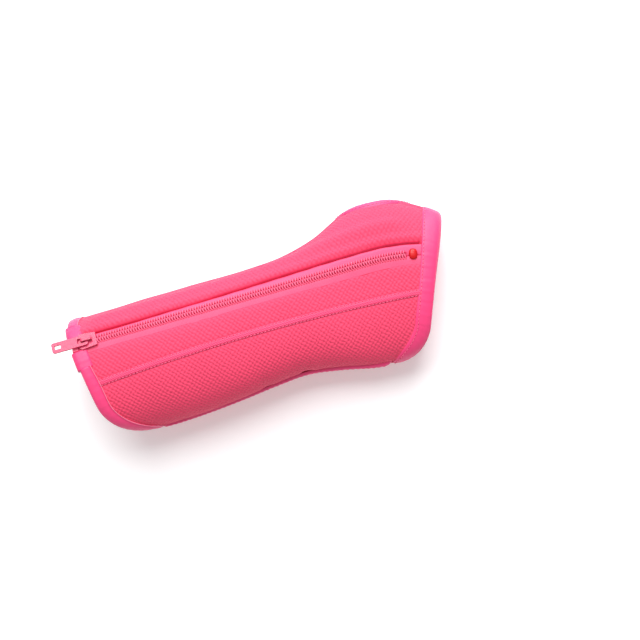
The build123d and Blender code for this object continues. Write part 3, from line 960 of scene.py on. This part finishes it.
def moulded_stop(length=4.8, half=3.1, power=2.5):
    """A rounded bead moulded over the end of both coils."""
    rings = []
    turn = np.linspace(0, 2 * pi, 24, endpoint=False)
    for t in np.linspace(-0.999, 0.999, 19):
        swell = (1 - abs(t) ** power) ** (1 / power)
        round_y, round_z = squared(np.cos(turn), 2 / power), squared(np.sin(turn), 2 / power)
        x = np.full(len(turn), CHAIN_END + 0.2 + length * (t + 1) / 2)
        rings.append(zip_point(x, half * swell * round_y, -0.35 + 1.45 * swell * round_z))
    return swept("moulded_stop", np.array(rings), np.array(rings)[..., :2])


stop_bead = moulded_stop()

# %% [markdown]
# ## Folded tape ends
# At the forearm end, each tape's end is turned back and stitched over the corner of the panel. The fold is
# the same flat U as a binding, only wider and set a little past the edge.

# %% Tape ends
TAPE_END_SPANS = {"thumb_side": (3.4, 13.4), "little_side": (-5.2, -15.4)}  # distances from the zip
END_WIDTH, END_OVERHANG = 9.0, 1.3
tape_ends = {}
for word, (first, last) in TAPE_END_SPANS.items():
    points, inward = end_edge(stretch(first, last, 0.6), False)
    edge = (points - inward * END_OVERHANG, inward)
    tape_ends[word] = folded_binding(f"tape_end_{word}", edge, END_WIDTH, 0.3, wall=SHELL + LINING + 0.4)

# %% [markdown]
# ## The palmar stay pocket
# Under the palm, a long pocket of the same knit holds the flat stay, and the guard lies on it. It's a closed
# pad whose rim curves up to the sleeve.


# %% Palmar pocket
def palm_z(x, y):
    """Height of the sleeve's palmar face at points in plan."""
    z = np.empty(len(x))
    under = (TURNS > -pi) & (TURNS < 0)
    rows = np.clip(np.round(x - RULER[0]).astype(int), 0, len(RULER) - 1)
    for row in np.unique(rows):
        pick = rows == row
        loop = LOOPS[row][under]
        order = np.argsort(loop[:, 1])
        z[pick] = np.interp(y[pick], loop[order, 1], loop[order, 2])
    return z


POCKET_MIDDLE, POCKET_HALF = -6.0, (78.0, 15.0)
POCKET_POWER, POCKET_INSET = 0.28, 14.4  # how square its outline is, and how far its flat face sits in
FLAT_SHARE = 0.7  # rings nearer the middle than this shrink to a point
RIM_RINGS = (  # share of the outline, and height
    (0.02, 0), (0.3, 0), (0.6, 0), (0.8, 0), (0.88, 0.05), (0.94, 0.35), (0.98, 0.9), (1.0, 1.7),
)


def pocket_ring(place, height):
    """One loop of the pocket's outline at a height, in the sleeve's own frame."""
    return np.column_stack([place[:, 0] + POCKET_MIDDLE, place[:, 1], np.broadcast_to(height, len(place))])


def palmar_pocket():
    """A pad with a flat underside, its rim turned up to the sleeve."""
    turn = np.linspace(0, 2 * pi, 180, endpoint=False)
    half = np.array(POCKET_HALF)
    rim = half * squared(np.stack([np.cos(turn), np.sin(turn)], -1), POCKET_POWER)
    rings = []
    for share, lift in RIM_RINGS:
        scale = np.maximum(half - (1 - share) * POCKET_INSET, 0.2) / half * min(1.0, share / FLAT_SHARE)
        rings.append(pocket_ring(rim * scale, lift))
    for share in (1.0, 0.9, 0.6, 0.02):
        place = rim * share
        rings.append(pocket_ring(place, palm_z(place[:, 0] + POCKET_MIDDLE, place[:, 1]) + 0.35))
    return swept("palmar_pocket", np.array(rings), np.array(rings)[..., :2])


pocket = palmar_pocket()

# %% [markdown]
# ## Finishes
# Three effects are shared, so each is a node group: the raised cells of the knit, the fine ribs of a woven
# tape, and the slow change of colour that washing leaves. Shader settings that don't change over the
# surface are set on the shader itself.


# %% Node helpers
def colour(red, green, blue):
    """A linear colour from display values of 0 to 255."""
    shown = (red, green, blue)
    return tuple(((c / 255 + 0.055) / 1.055) ** 2.4 if c > 10 else c / 3294 for c in shown) + (1.0,)


def maths(tree, operation, *values):
    """A Math node; each value is a number or a socket."""
    node = tree.nodes.new("ShaderNodeMath")
    node.operation = operation
    for socket, value in zip(node.inputs, values):
        if isinstance(value, bpy.types.NodeSocket):
            tree.links.new(value, socket)
        else:
            socket.default_value = value
    return node.outputs[0]


def new_group(name, inputs, outputs):
    """An empty node group with float inputs, and its input and output nodes."""
    tree = bpy.data.node_groups.new(name, "ShaderNodeTree")
    for label, default in inputs:
        socket = tree.interface.new_socket(name=label, in_out="INPUT", socket_type="NodeSocketFloat")
        socket.default_value = default
    for label in outputs:
        tree.interface.new_socket(name=label, in_out="OUTPUT", socket_type="NodeSocketFloat")
    return tree, tree.nodes.new("NodeGroupInput"), tree.nodes.new("NodeGroupOutput")


# %% [markdown]
# The knit is two sets of slanting waves laid over each other, which leaves raised diamonds. Noise shifts
# the waves a little, since a machine knit is never quite even. The woven tape needs only one set.

# %% Shared effects
THOUSAND = 1000.0  # metres of UV to millimetres


def flat_place(tree):
    """The flat cloth's own two directions, in metres."""
    uv = tree.nodes.new("ShaderNodeUVMap")
    uv.uv_map = "UVMap"
    split = tree.nodes.new("ShaderNodeSeparateXYZ")
    tree.links.new(uv.outputs[0], split.inputs[0])
    return uv.outputs[0], split.outputs[0], split.outputs[1]


def knit_cells():
    """Raised diamond cells in staggered rows, a little uneven: height, and how deep in a groove, for painted
    shade.
    """
    inputs = [("Length mm", 2.6), ("Width mm", 1.7)]
    tree, given, result = new_group("Knit cells", inputs, ["Height", "Groove shade"])
    place, flat_x, flat_g = flat_place(tree)
    wander = tree.nodes.new("ShaderNodeTexNoise")
    wander.inputs["Scale"].default_value = 260
    wander.inputs["Detail"].default_value = 1.0
    tree.links.new(place, wander.inputs["Vector"])
    shift = maths(tree, "MULTIPLY", maths(tree, "SUBTRACT", wander.outputs[0], 0.5), 0.9)
    along = maths(tree, "DIVIDE", maths(tree, "MULTIPLY", flat_x, THOUSAND), given.outputs[0])
    across = maths(tree, "DIVIDE", maths(tree, "MULTIPLY", flat_g, THOUSAND), given.outputs[1])
    along = maths(tree, "ADD", along, shift)
    first = maths(tree, "COSINE", maths(tree, "MULTIPLY", maths(tree, "ADD", along, across), 2 * pi))
    second = maths(tree, "COSINE", maths(tree, "MULTIPLY", maths(tree, "SUBTRACT", along, across), 2 * pi))
    leaning = maths(tree, "ADD", maths(tree, "MULTIPLY", first, 0.28), maths(tree, "MULTIPLY", second, 0.22))
    height = maths(tree, "ADD", leaning, 0.5)
    height = maths(tree, "POWER", height, 0.75)
    tree.links.new(height, result.inputs["Height"])
    # How deep a point sits in a groove: the mask of the knit's painted shade.
    groove = maths(tree, "SUBTRACT", 1.0, maths(tree, "SMOOTH_MIN", height, 0.55, 0.3))
    tree.links.new(maths(tree, "SUBTRACT", groove, 0.45), result.inputs["Groove shade"])
    return tree


def woven_ribs():
    """Fine slanting ribs of a woven tape: height only."""
    tree, given, result = new_group("Woven ribs", [("Pitch mm", 0.6), ("Slant", 1.0)], ["Height"])
    _, flat_x, flat_g = flat_place(tree)
    leaned = maths(tree, "ADD", flat_x, maths(tree, "MULTIPLY", flat_g, given.outputs[1]))
    phase = maths(tree, "DIVIDE", maths(tree, "MULTIPLY", leaned, THOUSAND * 2 * pi), given.outputs[0])
    cross = maths(tree, "DIVIDE", maths(tree, "MULTIPLY", flat_g, THOUSAND * 2 * pi), given.outputs[0])
    ribs = maths(tree, "MULTIPLY", maths(tree, "SINE", phase), 0.35)
    picks = maths(tree, "MULTIPLY", maths(tree, "SINE", cross), 0.15)
    tree.links.new(maths(tree, "ADD", maths(tree, "ADD", ribs, picks), 0.5), result.inputs[0])
    return tree


def washed():
    """Slow change over the piece, and fine fibre noise, both about 0 to 1."""
    inputs = [("Patch scale", 30.0), ("Fibre scale", 2600.0)]
    tree, given, result = new_group("Washed cloth", inputs, ["Slow", "Fibre"])
    place = tree.nodes.new("ShaderNodeTexCoord")
    for index, detail in ((0, 2.0), (1, 3.0)):
        noise = tree.nodes.new("ShaderNodeTexNoise")
        noise.inputs["Detail"].default_value = detail
        tree.links.new(place.outputs["Object"], noise.inputs["Vector"])
        tree.links.new(given.outputs[index], noise.inputs["Scale"])
        tree.links.new(noise.outputs[0], result.inputs[index])
    return tree


KNIT_CELLS, WOVEN_RIBS, WASHED = knit_cells(), woven_ribs(), washed()
print("node groups:", [g.name for g in (KNIT_CELLS, WOVEN_RIBS, WASHED)])


# %% [markdown]
# Three kinds of finish cover the guard: knit, woven tape and smooth. Each is one function that keeps its
# Principled BSDF in the material, sets what is constant on the shader, and links only what changes.


# %% Materials
def start_material(name, roughness, sheen=0.0, tint=None):
    """A material, its tree and its Principled BSDF with constant settings."""
    made = bpy.data.materials.new(name)
    made.use_nodes = True
    tree = made.node_tree
    shader = tree.nodes["Principled BSDF"]
    shader.inputs["Roughness"].default_value = roughness
    shader.inputs["Sheen Weight"].default_value = sheen
    shader.inputs["Sheen Roughness"].default_value = 0.45
    if tint:
        shader.inputs["Sheen Tint"].default_value = tint
    return made, tree, shader


def use_group(tree, group, *values):
    """Places a shared effect in a material, with its own values."""
    node = tree.nodes.new("ShaderNodeGroup")
    node.node_tree = group
    for socket, value in zip(node.inputs, values):
        socket.default_value = value
    return node


def mixed(tree, factor, first, second):
    """A colour between two, by a factor."""
    node = tree.nodes.new("ShaderNodeMix")
    node.data_type = "RGBA"
    tree.links.new(factor, node.inputs[0])
    for socket, value in ((node.inputs[6], first), (node.inputs[7], second)):
        if isinstance(value, bpy.types.NodeSocket):
            tree.links.new(value, socket)
        else:
            socket.default_value = value
    return node.outputs[2]


def bump(tree, shader, *layers):
    """Height layers as (socket, millimetres), bumped one on another."""
    before = None
    for socket, height in layers:
        node = tree.nodes.new("ShaderNodeBump")
        node.inputs["Strength"].default_value = 1.0
        node.inputs["Distance"].default_value = height * MM
        tree.links.new(socket, node.inputs["Height"])
        if before is not None:
            tree.links.new(before, node.inputs["Normal"])
        before = node.outputs[0]
    tree.links.new(before, shader.inputs["Normal"])


def dimmed(shade, share):
    """A colour made darker by a share of its light."""
    return tuple(c * share for c in shade[:3]) + (1.0,)


KNIT_LENGTH, KNIT_WIDTH = 2.7, 3.1  # one cell of the knit


def knit_material(name, face, groove, relief):
    """Knit cloth: paler cells, grooves darkened with painted shade, a little faded in patches."""
    made, tree, shader = start_material(name, 0.78, 0.15, colour(255, 130, 160))
    cells = use_group(tree, KNIT_CELLS, KNIT_LENGTH, KNIT_WIDTH)
    wash = use_group(tree, WASHED, 26.0, 2400.0)
    faded = mixed(tree, wash.outputs["Slow"], face, dimmed(face, 0.93))
    tree.links.new(mixed(tree, cells.outputs["Groove shade"], faded, groove), shader.inputs["Base Color"])
    bump(tree, shader, (cells.outputs["Height"], relief), (wash.outputs["Fibre"], 0.06))
    return made


def tape_material(name, base, dark, pitch, slant, roughness=0.6, sheen=0.25, relief=0.08):
    """Woven or knitted tape: fine slanting ribs, the low part of each darkened with painted shade."""
    made, tree, shader = start_material(name, roughness, sheen, colour(255, 170, 205))
    ribs = use_group(tree, WOVEN_RIBS, pitch, slant)
    wash = use_group(tree, WASHED, 45.0, 2000.0)
    # The dark colour shows where the ribs are low: painted shade in their valleys.
    shade = mixed(tree, ribs.outputs["Height"], dark, base)
    tree.links.new(mixed(tree, wash.outputs["Slow"], shade, dimmed(base, 0.9)), shader.inputs["Base Color"])
    bump(tree, shader, (ribs.outputs["Height"], relief), (wash.outputs["Fibre"], 0.04))
    return made


def smooth_material(name, base, roughness, coat=0.0, metallic=0.0):
    """Plastic, enamel or metal, with slow wear of colour and gloss."""
    made, tree, shader = start_material(name, roughness)
    shader.inputs["Coat Weight"].default_value = coat
    shader.inputs["Coat Roughness"].default_value = 0.15
    shader.inputs["Specular IOR Level"].default_value = 0.3
    shader.inputs["Metallic"].default_value = metallic
    wash = use_group(tree, WASHED, 300.0, 1500.0)
    tree.links.new(mixed(tree, wash.outputs["Slow"], base, dimmed(base, 0.75)), shader.inputs["Base Color"])
    spread = maths(tree, "ADD", maths(tree, "MULTIPLY", wash.outputs["Slow"], 0.12), roughness - 0.05)
    tree.links.new(spread, shader.inputs["Roughness"])
    bump(tree, shader, (wash.outputs["Fibre"], 0.02))
    return made


# The second colour of each knit is painted shade in the grooves between its cells.
knit = knit_material("Pink knit over foam", colour(234, 62, 100), colour(200, 42, 80), 0.38)
# The folded edge is darker than the knit: painted shade of the line where it overhangs the tape.
folded = smooth_material("Folded knit edge in painted shade", colour(212, 38, 76), 0.85)
inside = knit_material("Brushed lining", colour(226, 76, 112), colour(204, 58, 94), 0.1)
satin = tape_material("Satin binding", colour(240, 62, 122), colour(222, 44, 104), 0.55, 1.0, 0.45, 0.2, 0.05)
woven = tape_material("Woven zip tape", colour(240, 82, 128), colour(218, 58, 104), 0.75, 0.0)
blended = tape_material(
    "Woven zip tape beside the middle panel", colour(240, 74, 116), colour(220, 54, 98), 0.75, 0.0
)
band_cloth = tape_material(
    "Knitted seam band", colour(242, 70, 118), colour(196, 30, 78), 1.3, 0.8, relief=0.16
)
thread = tape_material("Sewing thread", colour(252, 124, 160), colour(232, 84, 122), 0.35, 0.6, 0.55)
nylon = smooth_material("Nylon coil", colour(248, 104, 140), 0.36, 0.1)
# The coil's core is coloured dark as painted shade between the turns.
core = smooth_material("Core of the coil in painted shade", colour(196, 34, 78), 0.9)
pit = smooth_material("Needle hole shadow", colour(190, 34, 74), 0.9)
enamel = smooth_material("Enamelled zinc", colour(214, 62, 102), 0.34, 0.25)
red_plastic = smooth_material("Red moulded stop", colour(200, 6, 16), 0.4, 0.1)
stay_metal = smooth_material("Stay strip", colour(205, 207, 210), 0.35, 0.0, 1.0)
print("materials:", len(bpy.data.materials))

# %% [markdown]
# ## Putting the pieces on the frame
# Each visible piece takes its finish and stands for a fixed solid. The back of the sleeve opens from the
# forearm end while its hand end stays sewn. Here the pieces of the back are only baked in place, not bent,
# and the other pieces move with the sleeve.


def finish_piece(piece, material, slot_name, *nodes, flap=None):
    """Gives a piece its finish and hides the solids it stands for; a flap piece is baked, others move with
    the sleeve.
    """
    piece.data.materials.clear()
    piece.data.materials.append(material)
    if nodes:
        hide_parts(*nodes)
    if flap:
        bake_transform(piece)
    else:
        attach(piece, "sleeve")


THUMB_FLAP, LITTLE_FLAP = "flap_radial", "flap_ulnar"
finish_piece(shell["palmar_shell"], knit, "shell_knit", "palmar_panel")
finish_piece(
    shell["thumb_side_shell"], knit, "shell_knit", "flap_panel_radial", "hand_panel_radial", flap=THUMB_FLAP
)
finish_piece(shell["middle_shell"], knit, "shell_knit", "flap_panel_middle", flap=LITTLE_FLAP)
finish_piece(
    shell["little_side_shell"], knit, "shell_knit", "flap_panel_ulnar", "hand_panel_ulnar", flap=LITTLE_FLAP
)
finish_piece(folded_edge, folded, "shell_knit", flap=THUMB_FLAP)
finish_piece(stay_strip, stay_metal, "stay_metal", "dorsal_stay", flap=THUMB_FLAP)
finish_piece(stop_bead, red_plastic, "stop_plastic", "bottom_stop")
finish_piece(linings["palmar_inside"], inside, "lining", "palmar_lining", "hand_lining")
finish_piece(linings["thumb_side_inside"], inside, "lining", "flap_lining_radial", flap=THUMB_FLAP)
finish_piece(linings["little_side_inside"], inside, "lining", "flap_lining_ulnar", flap=LITTLE_FLAP)
BINDING_SOLIDS = {
    "hand_end_fold": ("hand_end_binding", None),
    "forearm_fold_palmar": ("forearm_binding_palmar", None),
    "forearm_fold_thumb_side": ("forearm_binding_radial", THUMB_FLAP),
    "forearm_fold_little_side": ("forearm_binding_ulnar", LITTLE_FLAP),
    "thumb_hole_fold": ("thumb_hole_binding", None),
    "little_side_fold": ("ulnar_seam_binding", None),
}
for name, (solid, flap) in BINDING_SOLIDS.items():
    finish_piece(bindings[name], satin, "binding", solid, flap=flap)
finish_piece(middle_band, band_cloth, "seam_tape", "middle_seam_tape", flap=LITTLE_FLAP)
finish_piece(threads["middle_seam_threads"], thread, "seam_tape", flap=LITTLE_FLAP)
finish_piece(threads["forearm_threads_little_side"], thread, "binding", flap=LITTLE_FLAP)
finish_piece(threads["forearm_threads_thumb_side"], thread, "binding", flap=THUMB_FLAP)
for name in ("hand_end_threads", "forearm_threads_palmar", "thumb_hole_threads"):
    finish_piece(threads[name], thread, "binding")
finish_piece(holes["middle_seam_holes"], pit, "seam_tape", flap=LITTLE_FLAP)
finish_piece(holes["hand_end_holes"], pit, "binding")
finish_piece(pocket, knit, "shell_knit", "palmar_stay_pocket")
ZIP_SIDES = (("thumb_side", THUMB_FLAP, "radial", woven), ("little_side", LITTLE_FLAP, "ulnar", blended))
for word, flap, cad, tape_cloth in ZIP_SIDES:
    finish_piece(zip_tapes[word], tape_cloth, "zip_tape", f"zip_tape_{cad}", flap=flap)
    finish_piece(zip_coils[word], nylon, "zip_coil", f"zip_chain_{cad}", flap=flap)
    finish_piece(zip_cores[word], core, "zip_coil", flap=flap)
    finish_piece(tape_ends[word], satin, "zip_tape", flap=flap)

# %% [markdown]
# ## Hard pieces
# The slider, its tab, the stops and the palmar stay already have their true shape as solids. They keep it
# and their place, and take a finish and a small bevel, because a cast edge always catches a thin light.

# %% Hard pieces
EDGE_ROUND = 0.22 * MM
HARD = {
    "slider_body": enamel, "slider_bridge": enamel, "pull_tab": enamel,
    "top_stop_radial": nylon, "top_stop_ulnar": nylon, "palmar_stay": stay_metal,
}
for name, material in HARD.items():
    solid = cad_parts[name]
    solid.data.materials.clear()
    solid.data.materials.append(material)
    edge = solid.modifiers.new("soft_edges", "BEVEL")
    edge.width = EDGE_ROUND
    edge.segments = 3
    edge.limit_method = "ANGLE"
print("hard pieces:", len(HARD))

# %% [markdown]
# ## Floor, light and camera
# A pale floor, one wide soft light overhead and a weaker one from the thumb side show the relief of the knit
# without hard shadows. The camera looks almost straight down on the back of the hand.


# %% Stage
FLOOR_HALF = 3.0  # metres
FLOOR_GLOW = 0.22  # a little light of its own keeps the shadow faint
GUARD_MIDDLE = (0, 0, 0.03)
SKY = 0.46


def pale_floor():
    """A large plain sheet of near-white paper under the guard."""
    mesh = bpy.data.meshes.new("floor")
    corners = [(x * FLOOR_HALF, y * FLOOR_HALF, 0) for x, y in ((-1, -1), (1, -1), (1, 1), (-1, 1))]
    mesh.from_pydata(corners, [], [(0, 1, 2, 3)])
    made = bpy.data.objects.new("floor", mesh)
    bpy.context.scene.collection.objects.link(made)
    paint, tree, shader = start_material("Pale floor", 0.9)
    wash = use_group(tree, WASHED, 4.0, 400.0)
    paper = mixed(tree, wash.outputs["Slow"], (0.90, 0.90, 0.90, 1), (0.86, 0.86, 0.87, 1))
    tree.links.new(paper, shader.inputs["Base Color"])
    shader.inputs["Emission Color"].default_value = (1, 1, 1, 1)
    shader.inputs["Emission Strength"].default_value = FLOOR_GLOW
    made.data.materials.append(paint)


def soft_light(name, place, size, watts):
    """A square lamp that faces the guard."""
    lamp = bpy.data.lights.new(name, "AREA")
    lamp.size, lamp.energy = size, watts
    made = bpy.data.objects.new(name, lamp)
    bpy.context.scene.collection.objects.link(made)
    made.location = place
    made.rotation_euler = (Vector(GUARD_MIDDLE) - Vector(place)).to_track_quat("-Z", "Y").to_euler()


pale_floor()
soft_light("overhead", (0.05, 0.55, 0.8), size=0.7, watts=12)
soft_light("thumb_side", (0.3, 0.8, 0.45), size=0.5, watts=4.5)
world = bpy.data.worlds.new("studio")
world.use_nodes = True
sky = world.node_tree.nodes["Background"]
sky.inputs["Color"].default_value = (1, 1, 1, 1)
sky.inputs["Strength"].default_value = SKY
bpy.context.scene.world = world
bpy.context.scene.view_settings.view_transform = "Standard"
print("lights:", len(bpy.data.lights))

# %% [markdown]
# The camera's place is worked out from two angles round the guard and a distance. A third angle turns it
# about its own axis, and a small offset moves the guard to its place in the frame.

# %% Camera
AZIMUTH, ELEVATION, ROLL = 111.5, 87.5, -125.5  # degrees
DISTANCE = 814 * MM
AIM = Vector((0, 3, 25)) * MM
OFFSET = (34.3 * MM, 2.5 * MM)  # the frame's centre from the aim, along its own right and up
HALF_SENSOR, FOCAL_LENGTH = 18, 78.58125  # a full-frame camera with a short tele lens, in mm


def point_camera():
    """A camera placed by angles round the guard, turned about its own axis."""
    around_z, up, roll = radians(AZIMUTH), radians(ELEVATION), radians(ROLL)
    back = Vector((sin(around_z) * cos(up), -cos(around_z) * cos(up), sin(up)))
    right = Vector((0, 0, 1)).cross(back).normalized()
    over = back.cross(right)
    turned_right = cos(roll) * right + sin(roll) * over
    turned_up = -sin(roll) * right + cos(roll) * over
    data = bpy.data.cameras.new("camera")
    data.angle = 2 * atan2(HALF_SENSOR, FOCAL_LENGTH)
    data.clip_end = 20
    made = bpy.data.objects.new("camera", data)
    bpy.context.scene.collection.objects.link(made)
    place = AIM + back * DISTANCE + turned_right * OFFSET[0] + turned_up * OFFSET[1]
    turn = Matrix((turned_right, turned_up, back)).transposed()
    made.matrix_world = Matrix.Translation(place) @ turn.to_4x4()
    bpy.context.scene.camera = made


point_camera()
print("camera at, m:", [round(c, 3) for c in bpy.context.scene.camera.matrix_world.translation])
